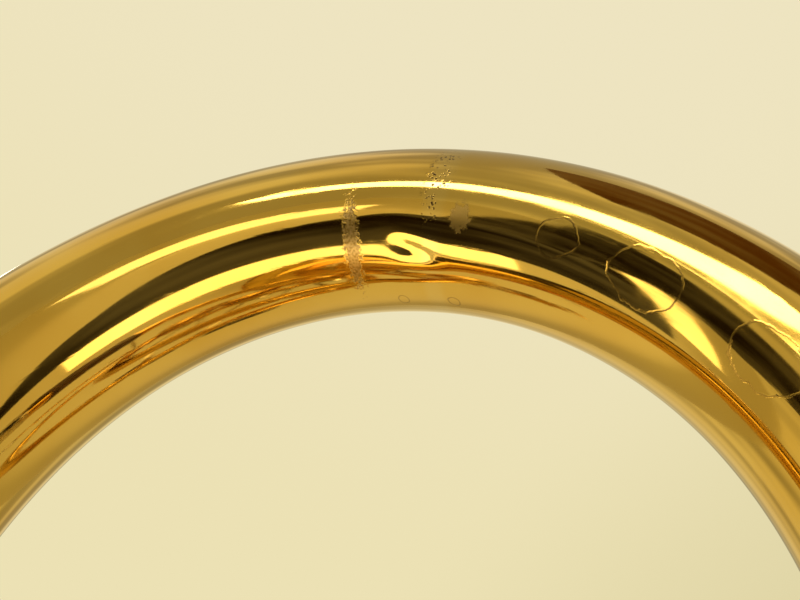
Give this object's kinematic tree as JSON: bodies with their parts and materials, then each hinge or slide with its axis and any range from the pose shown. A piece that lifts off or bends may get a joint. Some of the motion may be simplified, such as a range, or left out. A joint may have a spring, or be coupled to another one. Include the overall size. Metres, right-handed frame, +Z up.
{
  "type": "french horn",
  "caption": "Single french horn in F with rotary valves, finger levers, tuning slides, curved mouthpipe and a wide flared bell that it rests on.",
  "frame": {"origin": "middle of the horn's base, on the plane that the bell's rim rests on", "axes": "+Z up along the bell's axis, towards the big bow; +Y towards the finger levers; +X towards the mouthpiece"},
  "size_m": [0.5216, 0.308, 0.5556],
  "materials": {
    "lacquered_brass": "polished yellow brass under clear lacquer",
    "nickel_silver": "polished nickel silver",
    "steel": "bright drawn steel",
    "silver_plate": "silver plate",
    "leather": "dark brown cowhide, laced"
  },
  "bodies": {
    "horn_body": {"axle_post_1": "nickel_silver", "axle_post_2": "nickel_silver", "bell_ferrule": "nickel_silver", "bell_flare": "lacquered_brass", "bell_tail_bow": "lacquered_brass", "bow_ferrule": "nickel_silver", "brace_bell": "nickel_silver", "brace_mouthpipe": "nickel_silver", "brace_side": "nickel_silver", "brace_tuning_slide": "nickel_silver", "branch_ferrule": "nickel_silver", "finger_hook": "nickel_silver", "first_branch": "lacquered_brass", "hand_guard": "leather", "knuckle_1": "lacquered_brass", "knuckle_2": "lacquered_brass", "lever_1_spring": "steel", "lever_2_spring": "steel", "lever_3_spring": "steel", "lever_axle": "steel", "long_loop": "lacquered_brass", "main_slide_outer_in": "nickel_silver", "main_slide_outer_out": "nickel_silver", "mouthpiece_receiver": "nickel_silver", "mouthpipe": "lacquered_brass", "second_branch": "lacquered_brass", "valve_1_bearing": "nickel_silver", "valve_1_cap": "lacquered_brass", "valve_1_casing": "lacquered_brass", "valve_1_slide_outer": "nickel_silver", "valve_1_stop_plate": "nickel_silver", "valve_2_bearing": "nickel_silver", "valve_2_cap": "lacquered_brass", "valve_2_casing": "lacquered_brass", "valve_2_slide_outer": "nickel_silver", "valve_2_stop_plate": "nickel_silver", "valve_3_bearing": "nickel_silver", "valve_3_cap": "lacquered_brass", "valve_3_casing": "lacquered_brass", "valve_3_slide_outer": "nickel_silver", "valve_3_stop_plate": "nickel_silver"},
    "lever_1": {"lever_1": "nickel_silver"},
    "valve_1_rotor_group": {"valve_1_rotor": "nickel_silver", "valve_1_stop_arm": "nickel_silver"},
    "link_1": {"link_1": "nickel_silver"},
    "valve_1_slide": {"valve_1_slide": "lacquered_brass"},
    "lever_2": {"lever_2": "nickel_silver"},
    "valve_2_rotor_group": {"valve_2_rotor": "nickel_silver", "valve_2_stop_arm": "nickel_silver"},
    "link_2": {"link_2": "nickel_silver"},
    "valve_2_slide": {"valve_2_slide": "lacquered_brass"},
    "lever_3": {"lever_3": "nickel_silver"},
    "valve_3_rotor_group": {"valve_3_rotor": "nickel_silver", "valve_3_stop_arm": "nickel_silver"},
    "link_3": {"link_3": "nickel_silver"},
    "valve_3_slide": {"valve_3_slide": "lacquered_brass"},
    "main_tuning_slide": {"main_tuning_slide": "lacquered_brass"},
    "mouthpiece": {"mouthpiece": "silver_plate"}
  },
  "joints": [
    {"name": "lever_1_press", "type": "hinge", "parent": "horn_body", "child": "lever_1", "pos_m": [-0.04268, 0.1131, 0.3285], "axis": [1, 0, 0], "range_deg": [0, 16], "stiffness_Nm_per_rad": 0.08, "springref_deg": -20.05},
    {"name": "valve_1_turn", "type": "hinge", "parent": "horn_body", "child": "valve_1_rotor_group", "pos_m": [-0.04681, 0.058, 0.295], "axis": [0, 1, 0], "range_deg": [0, 90.5]},
    {"name": "link_1_travel", "type": "slide", "parent": "horn_body", "child": "link_1", "axis": [0, 0, 1], "range_m": [-0.00837, 0]},
    {"name": "lever_2_press", "type": "hinge", "parent": "horn_body", "child": "lever_2", "pos_m": [0.00232, 0.1131, 0.3285], "axis": [1, 0, 0], "range_deg": [0, 16], "stiffness_Nm_per_rad": 0.08, "springref_deg": -20.05},
    {"name": "valve_2_turn", "type": "hinge", "parent": "horn_body", "child": "valve_2_rotor_group", "pos_m": [-0.00181, 0.058, 0.295], "axis": [0, 1, 0], "range_deg": [0, 90.5]},
    {"name": "link_2_travel", "type": "slide", "parent": "horn_body", "child": "link_2", "axis": [0, 0, 1], "range_m": [-0.00837, 0]},
    {"name": "lever_3_press", "type": "hinge", "parent": "horn_body", "child": "lever_3", "pos_m": [0.04732, 0.1131, 0.3285], "axis": [1, 0, 0], "range_deg": [0, 16], "stiffness_Nm_per_rad": 0.08, "springref_deg": -20.05},
    {"name": "valve_3_turn", "type": "hinge", "parent": "horn_body", "child": "valve_3_rotor_group", "pos_m": [0.04319, 0.058, 0.295], "axis": [0, 1, 0], "range_deg": [0, 90.5]},
    {"name": "link_3_travel", "type": "slide", "parent": "horn_body", "child": "link_3", "axis": [0, 0, 1], "range_m": [-0.00837, 0]},
    {"name": "valve_1_slide_pull", "type": "slide", "parent": "horn_body", "child": "valve_1_slide", "axis": [0, 0, -1], "range_m": [0, 0.025]},
    {"name": "valve_2_slide_pull", "type": "slide", "parent": "horn_body", "child": "valve_2_slide", "axis": [0, 0, -1], "range_m": [0, 0.012]},
    {"name": "valve_3_slide_pull", "type": "slide", "parent": "horn_body", "child": "valve_3_slide", "axis": [0, 0, -1], "range_m": [0, 0.025]},
    {"name": "main_tuning_slide_pull", "type": "slide", "parent": "horn_body", "child": "main_tuning_slide", "axis": [0, 0, 1], "range_m": [0, 0.03]},
    {"name": "mouthpiece_pull", "type": "slide", "parent": "horn_body", "child": "mouthpiece", "axis": [0.5, 0, 0.866], "range_m": [0, 0.024]}
  ],
  "couplings": [
    {"joint": "valve_1_turn", "follows": "lever_1_press", "ratio": 5.625},
    {"joint": "link_1_travel", "follows": "lever_1_press", "m_per_rad": -0.029626},
    {"joint": "valve_2_turn", "follows": "lever_2_press", "ratio": 5.625},
    {"joint": "link_2_travel", "follows": "lever_2_press", "m_per_rad": -0.029626},
    {"joint": "valve_3_turn", "follows": "lever_3_press", "ratio": 5.625},
    {"joint": "link_3_travel", "follows": "lever_3_press", "m_per_rad": -0.029626}
  ]
}
